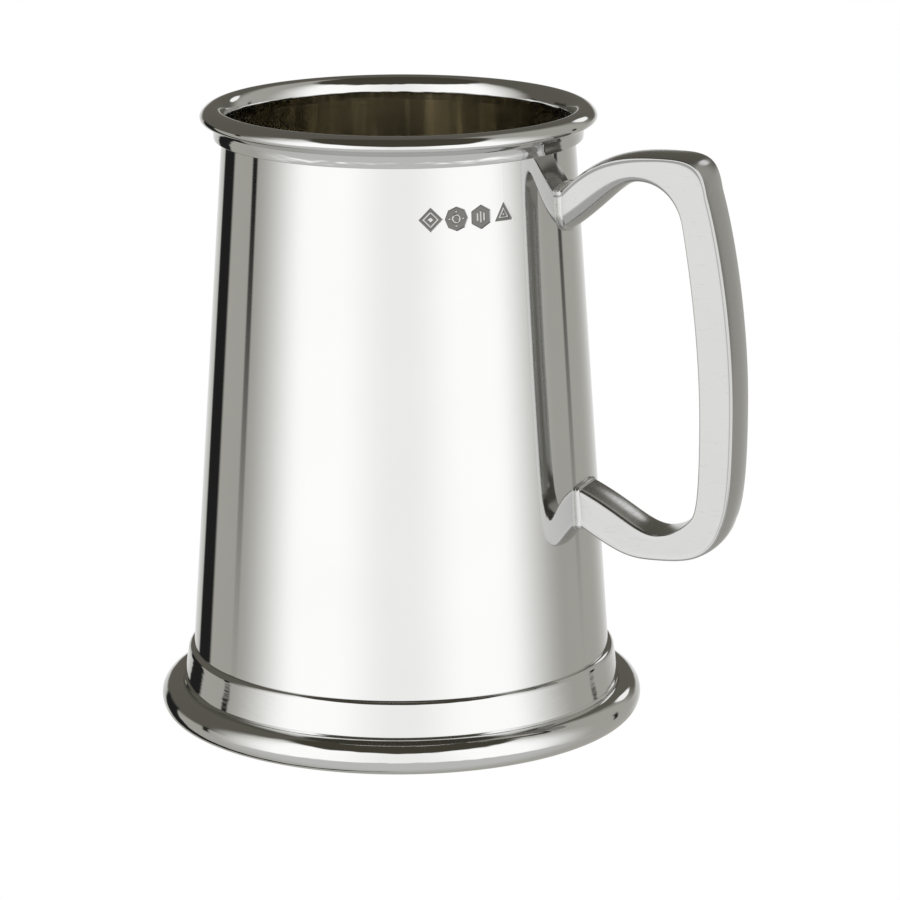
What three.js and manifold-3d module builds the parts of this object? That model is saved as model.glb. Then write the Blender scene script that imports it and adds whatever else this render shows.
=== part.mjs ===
// A pewter tankard: a tapered drum with a moulded rim and a hollow moulded foot, a soldered base
// disc, and a cast D-shaped handle soldered to the drum at both ends.
// Millimetres, +Z up. The origin is on the cup's axis, in the plane that the foot stands on.
// The handle lies along +X and is the same on both sides of the XZ plane.

import * as THREE from "three";
import { mergeVertices } from "three/addons/utils/BufferGeometryUtils.js";
import Module from "manifold-3d";

const wasm = await Module();
wasm.setup();

// ---------------------------------------------------------------- driving dimensions

const overall_height = 130;
const turned_segments = 72; // sides of every turned piece
const joint_gap = 0.25; // clearance left on each side of a soldered joint

// The drum's outer surface is a straight cone between these two radii.
const drum_radius_at_table = 45.25;
const drum_radius_at_top = 36.36;
const drum_wall = 1.1;
const drum_below_web = 1.4; // how far the drum's wall runs down past the foot's shell

const disc_recess = 2.4; // underside of the base disc above the drum's lower edge
const disc_thickness = 1.4;
const base_solder_leg = 1.5;
const foot_solder_leg = 1.1;

// Rim moulding, heights measured down from the top of the rim.
const collar_depth = 6.63;
const collar_overhang = 1.67; // beyond the drum, at the collar's lower edge
const collar_cove = 0.32; // how much wider the collar is under the bead
const rim_bead_radius = 1.05; // tight turn at the rim's widest point
const rim_roll_radius = 3.2; // wide turn over the top of the rim
const rim_crest_setback = 2.9; // highest point in from the widest
const rim_underside_depth = 4.1; // where the bead's underside meets the collar, from the top
const rim_bead_overhang = 2.82; // beyond the collar's lower edge
const lip_depth = 3.7; // depth and width of the rounded lip inside the bead
const drum_top_depth = 5; // the drum's upper edge inside the moulding

// Foot moulding, spun as a hollow shell.
const band_height = 7.17;
const band_groove = 0.28; // step between the bead's top and the band's lower edge
const band_thickness = 1.72; // over the drum, at the bottom of the band
const band_flare = 0.5; // how much thinner the band is at its top
const band_shoulder = 1.35; // height of the rounded shoulder at the band's top
const foot_bead_radius = 3.52;
const foot_bead_overhang = 1.25; // bead's centre beyond the band's lower edge
const foot_flat = 0.15; // depth of the flat that the foot stands on
const foot_shell = 1.4;
const foot_web = 1.17; // depth of the shell's edge against the drum, below the band

// Handle. Its outline is that of the flat side faces; the outer and inner faces swell beyond it.
const handle_width = 10.8;
const handle_crown = 0.45;
const handle_crown_land = 0.8; // level middle of the crowned faces
const handle_drop = 6.7; // highest point below the top of the rim
const handle_height = 84.25; // highest to lowest point
const handle_stand_off = 34.87; // outermost point beyond the drum's surface beside it
const belly_drop = 52.9; // outermost point below the highest point
const crest_setback = 15.3; // highest point in from the outermost point
const heel_setback = 18.3; // lowest point in from the outermost point
const upper_root_drop = [9.8, 17.6]; // upper and lower edge of the upper root, from the top
const lower_root_rise = [8.5, 15.4]; // lower and upper edge of the lower root, from the bottom
const upper_arm_depth = 5;
const grip_depth = 7.15;
const lower_arm_depth = 5.3;
const handle_root_overlap = 4; // outline carried on into the drum before it is trimmed
const pad_thickness = 0.5; // solder between the drum and the handle
const pad_margin = 0.8; // solder squeezed out around the handle's root

// Row of stamped marks on the drum.
const mark_drop = 17.3; // middle of the row below the top of the rim
const mark_depth = 0.3;
const mark_size = 4.6; // across each mark
const mark_pitch = 8.2; // degrees round the drum
const mark_first_angle = -57.8; // degrees from the handle, for the mark furthest from it
const mark_sides = [4, 8, 6, 3]; // a lozenge, an octagon, a hexagon and a triangle

// ---------------------------------------------------------------- derived places

const drum_slope = (drum_radius_at_top - drum_radius_at_table) / overall_height;
const drumRadius = (z) => drum_radius_at_table + drum_slope * z;
const drumBore = (z) => drumRadius(z) - drum_wall;

const foot_bead_z = foot_bead_radius - foot_flat;
const band_bottom = foot_bead_z + foot_bead_radius + band_groove;
const band_top = band_bottom + band_height;
const web_bottom = band_bottom - foot_web;
const drum_bottom = web_bottom - drum_below_web;
const disc_bottom = drum_bottom + disc_recess;

const collar_bottom = overall_height - collar_depth;
const drum_top = overall_height - drum_top_depth;
const mark_height = overall_height - mark_drop;
const handle_top = overall_height - handle_drop;
const handle_bottom = handle_top - handle_height;

// ---------------------------------------------------------------- materials

const finish = (name, color, roughness) =>
  new THREE.MeshStandardMaterial({ name, color, roughness, metalness: 1 });

const polished_pewter = finish("polished_pewter", 0xc9c7c0, 0.12);
const satin_pewter = finish("satin_pewter", 0xb9b7b1, 0.3);
const solder_metal = finish("solder_metal", 0x9b9a97, 0.4);

// ---------------------------------------------------------------- shape helpers

// Points of an arc in the (radius, height) plane; angles in degrees, anticlockwise from +radius.
function arc(centre_r, centre_z, radius, from, to, steps) {
  return Array.from({ length: steps + 1 }, (_, i) => {
    const a = THREE.MathUtils.degToRad(from + ((to - from) * i) / steps);
    return new THREE.Vector2(centre_r + radius * Math.cos(a), centre_z + radius * Math.sin(a));
  });
}

const at = (r, z) => new THREE.Vector2(r, z);

// A closed (radius, height) profile, listed anticlockwise, turned about the cup's axis.
function turned(profile) {
  const ring = [...profile, profile[0].clone()];
  return new THREE.LatheGeometry(ring, turned_segments).rotateX(Math.PI / 2);
}

// A solid of revolution that fills the drum's cone grown by `extra`, well past both ends.
function coneSolid(extra, low, high) {
  const profile = [at(0, low), at(drumRadius(low) + extra, low), at(drumRadius(high) + extra, high)];
  return new THREE.LatheGeometry([...profile, at(0, high)], turned_segments).rotateX(Math.PI / 2);
}

function toSolid(geometry) {
  const bare = geometry.clone();
  bare.deleteAttribute("normal");
  bare.deleteAttribute("uv");
  const merged = mergeVertices(bare, 1e-3);
  return new wasm.Manifold(
    new wasm.Mesh({
      numProp: 3,
      vertProperties: new Float32Array(merged.attributes.position.array),
      triVerts: new Uint32Array(merged.index.array),
    }),
  );
}

function toGeometry(solid) {
  const mesh = solid.getMesh();
  const geometry = new THREE.BufferGeometry();
  geometry.setAttribute("position", new THREE.BufferAttribute(mesh.vertProperties, 3));
  geometry.setIndex(new THREE.BufferAttribute(mesh.triVerts, 1));
  geometry.computeVertexNormals();
  return geometry;
}

const tankard = new THREE.Group();
tankard.name = "tankard";

function addPiece(name, geometry, material) {
  const mesh = new THREE.Mesh(geometry, material);
  mesh.name = name;
  tankard.add(mesh);
}

// ---------------------------------------------------------------- drum and its stamped marks

function drumGeometry() {
  return turned([
    at(drumRadius(drum_bottom), drum_bottom),
    at(drumRadius(drum_top), drum_top),
    at(drumBore(drum_top), drum_top),
    at(drumBore(drum_bottom), drum_bottom),
  ]);
}

// A punch with a polygon face, standing on the drum's surface and pressed in by mark_depth.
function punch(sides, angle) {
  const overlap = 2;
  const radius = mark_size / 2 / Math.cos(Math.PI / Math.max(sides, 4));
  const tool = new THREE.CylinderGeometry(radius, radius, mark_depth + overlap, sides);
  const lean = Math.atan(drum_slope);
  tool.translate(0, overlap / 2 - mark_depth / 2, 0);
  tool.rotateZ(-Math.PI / 2 - lean);
  tool.translate(drumRadius(mark_height), 0, mark_height);
  tool.rotateZ(THREE.MathUtils.degToRad(angle));
  return toSolid(tool);
}

function stampedDrum() {
  let drum = toSolid(drumGeometry());
  mark_sides.forEach((sides, i) => {
    drum = drum.subtract(punch(sides, mark_first_angle + i * mark_pitch));
  });
  return toGeometry(drum);
}

addPiece("drum", stampedDrum(), polished_pewter);

// ---------------------------------------------------------------- rim moulding

function rimProfile() {
  const collar_radius = drumRadius(collar_bottom) + collar_overhang;
  const widest = collar_radius + rim_bead_overhang;
  const roll = at(widest - rim_crest_setback, overall_height - rim_roll_radius);
  const spread = rim_roll_radius - rim_bead_radius; // from the roll's centre to the bead's
  const meeting = Math.acos((rim_crest_setback - rim_bead_radius) / spread);
  const bead = at(roll.x + spread * Math.cos(meeting), roll.y + spread * Math.sin(meeting));
  const corner = at(collar_radius + collar_cove, overall_height - rim_underside_depth);
  const to_bead = bead.clone().sub(corner);
  const underside = Math.atan2(to_bead.y, to_bead.x) - Math.asin(rim_bead_radius / to_bead.length());
  const degrees = THREE.MathUtils.radToDeg;
  const lip_z = overall_height - lip_depth;
  const lip_reach = roll.x - drumBore(lip_z);
  const lip = arc(0, 0, 1, 90, 180, 6).map((p) => at(roll.x + lip_reach * p.x, lip_z + lip_depth * p.y));
  return [
    at(drumRadius(collar_bottom) + joint_gap, collar_bottom),
    at(collar_radius, collar_bottom),
    corner,
    ...arc(bead.x, bead.y, rim_bead_radius, degrees(underside) - 90, degrees(meeting), 7),
    ...arc(roll.x, roll.y, rim_roll_radius, degrees(meeting), 90, 6).slice(1),
    ...lip.slice(1),
    at(drumBore(drum_top), drum_top + joint_gap),
    at(drumRadius(drum_top) + joint_gap, drum_top + joint_gap),
  ];
}

addPiece("rim_moulding", turned(rimProfile()), polished_pewter);

// ---------------------------------------------------------------- hollow foot

function footProfile() {
  const lower_r = drumRadius(band_bottom) + band_thickness;
  const upper_r = drumRadius(band_top) + band_thickness - band_flare;
  const bead_r = lower_r + foot_bead_overhang;
  const hollow = foot_bead_radius - foot_shell;
  const flat_angle = THREE.MathUtils.radToDeg(Math.asin(foot_bead_z / foot_bead_radius));
  const lap_top = drumRadius(band_top) + joint_gap;
  const rise = band_shoulder;
  const run = upper_r - lap_top;
  const shoulder = arc(0, 0, 1, 0, 90, 4).map((p) => at(lap_top + run * p.x, band_top - rise * (1 - p.y)));
  return [
    at(drumRadius(web_bottom) + joint_gap, web_bottom),
    ...arc(bead_r, foot_bead_z, hollow, 110, -145, 11),
    ...arc(bead_r, foot_bead_z, foot_bead_radius, -145, flat_angle - 180, 2),
    ...arc(bead_r, foot_bead_z, foot_bead_radius, -flat_angle, 108, 12),
    at(lower_r, band_bottom),
    ...shoulder,
  ];
}

addPiece("foot_moulding", turned(footProfile()), polished_pewter);

// ---------------------------------------------------------------- base disc and ring solders

function discProfile() {
  const top = disc_bottom + disc_thickness;
  return [
    at(0, disc_bottom),
    at(drumBore(disc_bottom) - joint_gap, disc_bottom),
    at(drumBore(top) - joint_gap, top),
    at(0, top),
  ];
}

addPiece(
  "base_disc",
  new THREE.LatheGeometry(discProfile(), turned_segments).rotateX(Math.PI / 2),
  satin_pewter,
);

// Fillet in the corner between the base disc's underside and the drum's bore.
function baseSolderProfile() {
  const top = disc_bottom - joint_gap;
  const outer = drumBore(top) - joint_gap;
  return [at(outer - base_solder_leg, top), at(outer, top - base_solder_leg), at(outer, top)];
}

// Fillet in the corner between the drum's outside and the underside of the foot's shell.
function footSolderProfile() {
  const top = web_bottom - joint_gap;
  const bottom = top - foot_solder_leg;
  const inner = drumRadius(bottom) + joint_gap;
  return [at(inner, top), at(inner, bottom), at(inner + foot_solder_leg, (top + bottom) / 2)];
}

addPiece("base_solder", turned(baseSolderProfile()), solder_metal);
addPiece("foot_solder", turned(footSolderProfile()), solder_metal);

// ---------------------------------------------------------------- handle and its solder pads

// Side outline of the handle in the XZ plane: outer edge from the upper root down to the lower
// root, then back up along the inner edge. Offsets are from the crest, the belly and the heel.
function handleOutline() {
  const belly_z = handle_top - belly_drop;
  const reach = drumRadius(belly_z) + handle_stand_off;
  const crest_x = reach - crest_setback;
  const low_x = reach - heel_setback;
  const grip_x = reach - grip_depth;
  const upper_under = handle_top - upper_arm_depth;
  const lower_over = handle_bottom + lower_arm_depth;
  const rootCorner = (z) => at(drumRadius(z) - handle_root_overlap, z);
  const upper_root = upper_root_drop.map((drop) => rootCorner(handle_top - drop));
  const lower_root = lower_root_rise.map((rise) => rootCorner(handle_bottom + rise));

  const outline = new THREE.Shape();
  // Outer edge: upper arm, shoulder, back of the grip, heel, underside of the lower arm.
  outline.moveTo(upper_root[0].x, upper_root[0].y - handle_root_overlap);
  outline.bezierCurveTo(
    crest_x - 18.4, handle_top - 3.2, crest_x - 14, handle_top + 0.1, crest_x, handle_top);
  outline.bezierCurveTo(
    crest_x + 7, handle_top + 0.1, reach - 7.1, handle_top - 1.8, reach - 6.1, handle_top - 7.3);
  outline.bezierCurveTo(
    reach - 2.7, handle_top - 18.8, reach, belly_z + 15.6, reach, belly_z);
  outline.bezierCurveTo(
    reach, belly_z - 10.4, reach - 0.3, handle_bottom + 12, reach - 2.1, handle_bottom + 8);
  outline.bezierCurveTo(
    reach - 4.3, handle_bottom + 0.6, low_x + 8.5, handle_bottom, low_x, handle_bottom);
  outline.bezierCurveTo(
    low_x - 5.5, handle_bottom, low_x - 8.5, handle_bottom + 2, lower_root[0].x, lower_root[0].y);
  outline.lineTo(lower_root[1].x, lower_root[1].y);
  // Inner edge: top of the lower arm, inside of the heel, front of the grip, under the shoulder.
  outline.bezierCurveTo(
    low_x - 6.5, lower_over + 5.2, low_x - 3, lower_over, low_x + 2, lower_over);
  outline.bezierCurveTo(
    low_x + 5, lower_over, grip_x - 2.9, lower_over + 2.2, grip_x - 1.5, lower_over + 4.2);
  outline.bezierCurveTo(
    grip_x - 0.1, lower_over + 6.2, grip_x, belly_z - 12, grip_x, belly_z - 3.4);
  outline.bezierCurveTo(
    grip_x, belly_z + 12.6, grip_x - 2.3, upper_under - 19.3, grip_x - 4.2, upper_under - 8.8);
  outline.bezierCurveTo(
    grip_x - 5.1, upper_under - 3.8, crest_x - 0.5, upper_under, crest_x - 5.7, upper_under);
  outline.bezierCurveTo(
    crest_x - 12, upper_under, crest_x - 17, upper_under - 8.3, upper_root[1].x, upper_root[1].y);
  outline.closePath();
  return outline;
}

// The outline thickened across Y: flat side faces, and edges that swell by `crown` at mid width.
function handleBlank(width, crown) {
  const geometry = new THREE.ExtrudeGeometry(handleOutline(), {
    depth: handle_crown_land,
    curveSegments: 9,
    bevelEnabled: true,
    bevelThickness: (width - handle_crown_land) / 2,
    bevelSize: crown,
    bevelSegments: 3,
  });
  geometry.translate(0, 0, -handle_crown_land / 2);
  return toSolid(geometry.rotateX(Math.PI / 2));
}

function trimmedHandle() {
  const clear_of_drum = coneSolid(2 * joint_gap + pad_thickness, 0, overall_height);
  return toGeometry(handleBlank(handle_width, handle_crown).subtract(toSolid(clear_of_drum)));
}

addPiece("handle", trimmedHandle(), satin_pewter);

// A plate of solder wrapped on the drum between two heights, a little larger than the root.
function solderPad(low, high) {
  const footprint = handleBlank(handle_width + 2 * pad_margin, handle_crown + pad_margin);
  const outside = coneSolid(joint_gap + pad_thickness, low, high);
  const inside = coneSolid(joint_gap, 0, overall_height);
  return toGeometry(footprint.intersect(toSolid(outside)).subtract(toSolid(inside)));
}

const between_roots = (handle_top + handle_bottom) / 2;

addPiece("upper_handle_solder", solderPad(between_roots, collar_bottom), solder_metal);
addPiece("lower_handle_solder", solderPad(band_top, between_roots), solder_metal);

export default tankard;
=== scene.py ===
"""A pewter tankard's looks, built around its packed frame.

The file is laid out as an add-on: sizes and finishes are properties, each piece has its operator, and
a panel in the 3D view's sidebar lists them. Everything is in metres, on the frame's own axes: +Z up
along the cup, +X towards the handle, and the foot standing on z = 0.
"""

import math

import bmesh
import bpy
from bpy.props import FloatProperty, FloatVectorProperty, IntProperty, PointerProperty
from mathutils import Matrix, Vector


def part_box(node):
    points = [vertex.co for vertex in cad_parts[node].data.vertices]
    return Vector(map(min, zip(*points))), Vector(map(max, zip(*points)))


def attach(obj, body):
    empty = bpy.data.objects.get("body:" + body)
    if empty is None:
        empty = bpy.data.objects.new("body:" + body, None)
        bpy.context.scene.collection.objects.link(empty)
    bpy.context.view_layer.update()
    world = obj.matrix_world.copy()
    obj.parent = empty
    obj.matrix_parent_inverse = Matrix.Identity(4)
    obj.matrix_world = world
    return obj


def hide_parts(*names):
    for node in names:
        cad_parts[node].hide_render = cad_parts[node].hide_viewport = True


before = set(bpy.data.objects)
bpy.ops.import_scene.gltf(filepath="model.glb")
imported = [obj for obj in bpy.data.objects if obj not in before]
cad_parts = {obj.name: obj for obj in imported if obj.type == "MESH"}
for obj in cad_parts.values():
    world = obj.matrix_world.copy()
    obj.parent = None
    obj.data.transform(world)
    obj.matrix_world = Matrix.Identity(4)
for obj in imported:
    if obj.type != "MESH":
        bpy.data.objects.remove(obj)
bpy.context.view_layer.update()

bl_info = {
    "name": "Pewter Tankard",
    "version": (1, 0, 0),
    "blender": (4, 5, 0),
    "location": "3D View > Sidebar > Tankard",
    "description": "Builds a soldered pewter tankard and the stage it stands on",
    "category": "Object",
}

BODY = "root"

MERGE_DISTANCE = 1e-7
HEM = 0.00012  # narrow row beside each rounded edge, which keeps the faces' shading flat
HANDLE_STAND_OFF = 0.0008  # the handle's end above the drum
PAD_STAND_OFF = 0.001  # where the pads take the handle's outline
COVE_DROPS = (0.0014, 0.0004)  # rows of the collar's cove below its corner
BAND_EDGE = 0.0001  # small chamfer under the band
BLACK_CLOTH = 0.012

DRUM_LOW, DRUM_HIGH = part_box("drum")
RIM_LOW, RIM_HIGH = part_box("rim_moulding")
FOOT_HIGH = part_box("foot_moulding")[1]
DISC_LOW, DISC_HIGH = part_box("base_disc")
HANDLE_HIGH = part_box("handle")[1]


# ------------------------------------------------------------------ sizes and finishes


def length(name, description, default):
    return FloatProperty(name=name, description=description, default=default, unit="LENGTH", precision=5)


def angle(name, description, degrees):
    return FloatProperty(
        name=name, description=description, default=math.radians(degrees), subtype="ANGLE"
    )


def share(name, description, default):
    return FloatProperty(
        name=name, description=description, default=default, min=0.0, max=1.0, subtype="FACTOR"
    )


def colour(name, description, default):
    return FloatVectorProperty(
        name=name, description=description, default=default, size=3, min=0.0, max=4.0, subtype="COLOR"
    )


class TankardVessel(bpy.types.PropertyGroup):
    """Sizes of the drum, rim, foot and base."""

    mouth_radius: length("Mouth radius", "Drum's outer radius carried up to the top of the rim", 0.03636)
    wall: length("Wall", "Thickness of the drum", 0.0011)
    collar_overhang: length("Collar overhang", "Collar beyond the drum at its lower edge", 0.00167)
    collar_cove: length("Collar cove", "How much wider the collar is under the bead", 0.00032)
    rim_bead: length("Rim bead", "Radius of the tight turn at the rim's widest point", 0.00105)
    rim_roll: length("Rim roll", "Radius of the wide turn over the top of the rim", 0.0032)
    crest_setback: length("Crest setback", "Rim's highest point in from its widest", 0.0029)
    underside_depth: length("Underside depth", "Rim's underside at the collar, from the top", 0.0041)
    lip_depth: length("Lip depth", "Height of the rounded lip inside the bead", 0.0037)
    drum_top: length("Drum top", "Drum's upper edge below the top of the rim", 0.005)
    band_height: length("Band height", "Height of the foot's upright band", 0.00717)
    band_flare: length("Band flare", "How much thinner the band is at its top", 0.0005)
    shoulder: length("Shoulder", "Height of the rounded shoulder on the band", 0.00135)
    foot_bead: length("Foot bead", "Radius of the foot's bead", 0.00352)
    foot_bead_overhang: length("Foot bead overhang", "Bead's centre beyond the band", 0.00125)
    foot_flat: length("Foot flat", "Depth of the flat that the foot stands on", 0.00015)
    foot_shell: length("Foot shell", "Thickness of the hollow foot", 0.0014)
    foot_web: length("Foot web", "Depth of the foot's edge against the drum, below the band", 0.00117)
    base_dish: length("Base dish", "How far the base disc's faces sink in the middle", 0.0004)
    arris: length("Arris", "Rounding on the turned edges", 0.00018)
    turns: IntProperty(name="Turned steps", description="Steps round each turned piece", default=360)


class TankardMarks(bpy.types.PropertyGroup):
    """The row of stamped marks on the drum."""

    height: length("Height", "Middle of the row above the table", 0.1127)
    size: length("Size", "Across each mark", 0.0048)
    depth: length("Depth", "How deep the marks are struck", 0.00024)
    first_angle: angle("First angle", "Angle from the handle to the furthest mark", -57.8)
    pitch: angle("Pitch", "Angle from one mark to the next", 8.2)
    edge: length("Edge", "Width of the struck edges", 0.00016)


class TankardHandle(bpy.types.PropertyGroup):
    """Sizes of the cast handle."""

    crown: length("Crown", "Swell of the outer and inner faces at mid width", 0.0004)
    arm_swell: length("Arm swell", "Extra swell under the upper arm", 0.0014)
    arris: length("Arris", "Rounding along the handle's edges", 0.00045)
    soft_arris: length("Soft arris", "Rounding along the upper arm's lower edges", 0.002)
    flare: length("Flare", "Side faces' widening towards the outer edge", 0.0002)
    flare_width: length("Flare width", "Width of that widening", 0.0007)
    drop: length("Drop", "Highest side-face point below the rim", 0.0067)
    height: length("Height", "Highest to lowest side-face point", 0.08425)
    upper_arm: length("Upper arm", "Depth of the upper arm's side face", 0.005)
    grip: length("Grip", "Depth of the grip's side face", 0.00715)
    lower_arm: length("Lower arm", "Depth of the lower arm's side face", 0.0053)
    belly_drop: length("Belly drop", "Outermost point below the highest", 0.0529)
    crest_setback: length("Crest setback", "Highest point in from the outermost", 0.0153)
    heel_setback: length("Heel setback", "Lowest point in from the outermost", 0.0183)
    solder_spread: length("Solder spread", "How far the solder pads swell round the roots", 0.00055)
    stations: IntProperty(name="Stations", description="Sections along the handle", default=300)


class TankardFinish(bpy.types.PropertyGroup):
    """Colours and polish of the metal."""

    pewter: colour("Pewter", "Colour of polished pewter", (0.7, 0.7, 0.692))
    casting: colour("Casting", "Colour of the hand-polished casting", (0.52, 0.52, 0.512))
    solder: colour("Solder", "Colour of the wiped solder", (0.6, 0.6, 0.585))
    mirror: share("Mirror polish", "Roughness of the drum, rim and foot", 0.045)
    hand: share("Hand polish", "Roughness of the handle", 0.16)
    inside: share("Inside", "Roughness inside the cup", 0.1)
    sway: length("Sway", "Unevenness left in the mouldings by hand polishing", 0.00006)
    patina: share("Patina", "Darkening in the struck marks", 0.85)
    inside_metal: colour("Inside metal", "Colour of the metal inside the cup", (0.68, 0.66, 0.6))
    patina_colour: colour("Patina colour", "Colour of the struck marks' patina", (0.06, 0.056, 0.047))


class TankardStage(bpy.types.PropertyGroup):
    """Camera and studio."""

    azimuth: angle("Azimuth", "Camera's turn from the front towards the handle", 22.5)
    distance: length("Distance", "Camera from the cup's axis", 0.8667)
    height: length("Height", "Camera above the table", 0.2763)
    pitch: angle("Pitch", "Camera's tilt below level", 14.27)
    aim: angle("Aim", "Camera's aim to the right of the axis", 0.696)
    roll: angle("Roll", "Camera's roll", -0.139)
    lens: FloatProperty(name="Lens", description="Focal length", default=168.8, unit="CAMERA")
    floor: length("Floor", "Radius of the floor", 3.0)
    lamp_turn: angle("Lamp turn", "Small lamp's turn from the camera's side, towards the right", 150.0)
    lamp_rise: angle("Lamp rise", "Small lamp's height above level", 21.0)
    lamp_size: angle("Lamp size", "Small lamp's half width", 5.0)
    light: FloatProperty(name="Light", description="Strength of the whole studio", default=1.45)
    front_wall: share("Front wall", "Brightness of the soft wall on the camera's side", 0.82)
    soft_box: share("Soft boxes", "Brightness of the two soft boxes in front of that wall", 0.96)
    soft_box_turn: angle("Soft box turn", "How far each soft box stands round from the camera", 46.0)
    soft_box_width: angle("Soft box width", "Half the width of each soft box", 8.0)
    soft_box_fade: angle("Soft box fade", "How far a soft box's light takes to fade", 34.0)
    front_reach: angle("Front reach", "How far the soft wall goes round to each side", 60.0)
    front_fade: angle("Front fade", "How far its soft ends take to fade", 45.0)
    side_wall: colour("Side walls", "Colour of the plain walls on both sides", (0.32, 0.315, 0.29))
    unlit: colour("Unlit side", "Colour of the unlit part of the room", (0.09, 0.086, 0.072))
    unlit_turn: angle("Unlit turn", "Middle of the unlit part, behind the cup and to its left", -155.0)
    unlit_reach: angle("Unlit reach", "Half the width of the unlit part", 50.0)
    ceiling: colour("Ceiling", "Colour of the unlit ceiling", (0.048, 0.044, 0.033))
    near_table: share("Near table", "Brightness of the table on the camera's side", 0.46)
    far_table: share("Far table", "Brightness of the pale sweep behind the cup", 0.6)
    left_flag: angle("Left flag", "Wide black flag's turn from the camera's side", -141.0)
    left_flag_width: angle("Left flag width", "Half the width of that flag", 8.0)
    left_post: angle("Left post", "Narrow black post's turn from the camera's side", -105.0)
    left_post_width: angle("Left post width", "Half the width of that post", 1.5)
    right_post: angle("Right post", "Narrow black post's turn on the handle's side", 121.0)
    right_post_width: angle("Right post width", "Half the width of that post", 1.2)


GROUPS = {
    "tankard_vessel": TankardVessel,
    "tankard_marks": TankardMarks,
    "tankard_handle": TankardHandle,
    "tankard_finish": TankardFinish,
    "tankard_stage": TankardStage,
}


# ------------------------------------------------------------------ places worked out from the frame


def drum_slope(vessel):
    return (vessel.mouth_radius - DRUM_HIGH.x) / (RIM_HIGH.z - DRUM_LOW.z)


def drum_radius(vessel, z):
    return DRUM_HIGH.x + drum_slope(vessel) * (z - DRUM_LOW.z)


def drum_bore(vessel, z):
    return drum_radius(vessel, z) - vessel.wall


# ------------------------------------------------------------------ node helpers


def add_node(tree, kind, **settings):
    node = tree.nodes.new(kind)
    for name, value in settings.items():
        setattr(node, name, value)
    return node


def feed(tree, node, socket, value):
    """Sets an input to a number or colour, or links it to another node's output."""
    target = node.inputs[socket]
    if isinstance(value, bpy.types.NodeSocket):
        tree.links.new(value, target)
    else:
        target.default_value = value


def maths(tree, operation, *values, clamp=False):
    node = add_node(tree, "ShaderNodeMath", operation=operation, use_clamp=clamp)
    for i, value in enumerate(values):
        feed(tree, node, i, value)
    return node.outputs[0]


def remap(tree, value, low, high, to_low=0.0, to_high=1.0):
    node = add_node(tree, "ShaderNodeMapRange", interpolation_type="SMOOTHSTEP")
    for i, item in enumerate((value, low, high, to_low, to_high)):
        feed(tree, node, i, item)
    return node.outputs["Result"]


def mix_colour(tree, factor, first, second):
    node = add_node(tree, "ShaderNodeMix", data_type="RGBA")
    feed(tree, node, "Factor", factor)
    feed(tree, node, 6, first)
    feed(tree, node, 7, second)
    return node.outputs[2]


def new_group(name, inputs, outputs):
    group = bpy.data.node_groups.new(name, "ShaderNodeTree")
    for label, kind, default in inputs:
        socket = group.interface.new_socket(label, in_out="INPUT", socket_type=kind)
        socket.default_value = default
    for label, kind in outputs:
        group.interface.new_socket(label, in_out="OUTPUT", socket_type=kind)
    return group, group.nodes.new("NodeGroupInput"), group.nodes.new("NodeGroupOutput")


FLOAT = "NodeSocketFloat"
VECTOR = "NodeSocketVector"


def turning_group():
    """Faint rings left by the lathe and the polishing mop, running round the cup's axis."""
    group, source, result = new_group(
        "Turning Lines",
        [("Vector", VECTOR, (0, 0, 0)), ("Rings", FLOAT, 9000.0), ("Drift", FLOAT, 30.0)],
        [("Lines", FLOAT), ("Cloud", FLOAT), ("Sway", FLOAT)],
    )
    parts = add_node(group, "ShaderNodeSeparateXYZ")
    feed(group, parts, 0, source.outputs["Vector"])
    across, back = (maths(group, "POWER", parts.outputs[i], 2.0) for i in (0, 1))
    radial = maths(group, "SQRT", maths(group, "ADD", across, back))
    along = maths(group, "MULTIPLY", maths(group, "ADD", parts.outputs[2], radial), source.outputs["Rings"])
    place = add_node(group, "ShaderNodeCombineXYZ")
    for i in (0, 1):
        feed(group, place, i, maths(group, "MULTIPLY", parts.outputs[i], source.outputs["Drift"]))
    feed(group, place, 2, along)
    fine = add_node(group, "ShaderNodeTexNoise")
    feed(group, fine, "Vector", place.outputs[0])
    feed(group, fine, "Scale", 1.0)
    feed(group, fine, "Detail", 2.0)
    cloud = add_node(group, "ShaderNodeTexNoise")
    feed(group, cloud, "Vector", source.outputs["Vector"])
    feed(group, cloud, "Scale", 45.0)
    feed(group, cloud, "Detail", 4.0)
    round_place = add_node(group, "ShaderNodeMapping")
    feed(group, round_place, "Vector", source.outputs["Vector"])
    feed(group, round_place, "Scale", (1.0, 1.0, 6.0))
    sway = add_node(group, "ShaderNodeTexNoise")
    feed(group, sway, "Vector", round_place.outputs[0])
    feed(group, sway, "Scale", 110.0)
    feed(group, sway, "Detail", 2.0)
    feed(group, result, "Lines", fine.outputs[0])
    feed(group, result, "Cloud", cloud.outputs[0])
    feed(group, result, "Sway", sway.outputs[0])
    return group


def scratch_group():
    """Hairline scratches from cloth and use, a few millimetres long and lying every way."""
    group, source, result = new_group(
        "Hairlines", [("Vector", VECTOR, (0, 0, 0)), ("Scale", FLOAT, 260.0)], [("Scratches", FLOAT)]
    )
    total = None
    for turn, stretch in ((0.5, 14.0), (1.7, 20.0), (2.6, 17.0)):
        place = add_node(group, "ShaderNodeMapping")
        feed(group, place, "Vector", source.outputs["Vector"])
        feed(group, place, "Rotation", (turn, 0.7 * turn, 1.3 * turn))
        feed(group, place, "Scale", (1.0, stretch, stretch))
        noise = add_node(group, "ShaderNodeTexNoise")
        feed(group, noise, "Vector", place.outputs[0])
        feed(group, noise, "Scale", source.outputs["Scale"])
        feed(group, noise, "Detail", 1.0)
        line = remap(group, noise.outputs[0], 0.68, 0.78)
        total = line if total is None else maths(group, "MAXIMUM", total, line)
    feed(group, result, "Scratches", total)
    return group


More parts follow.
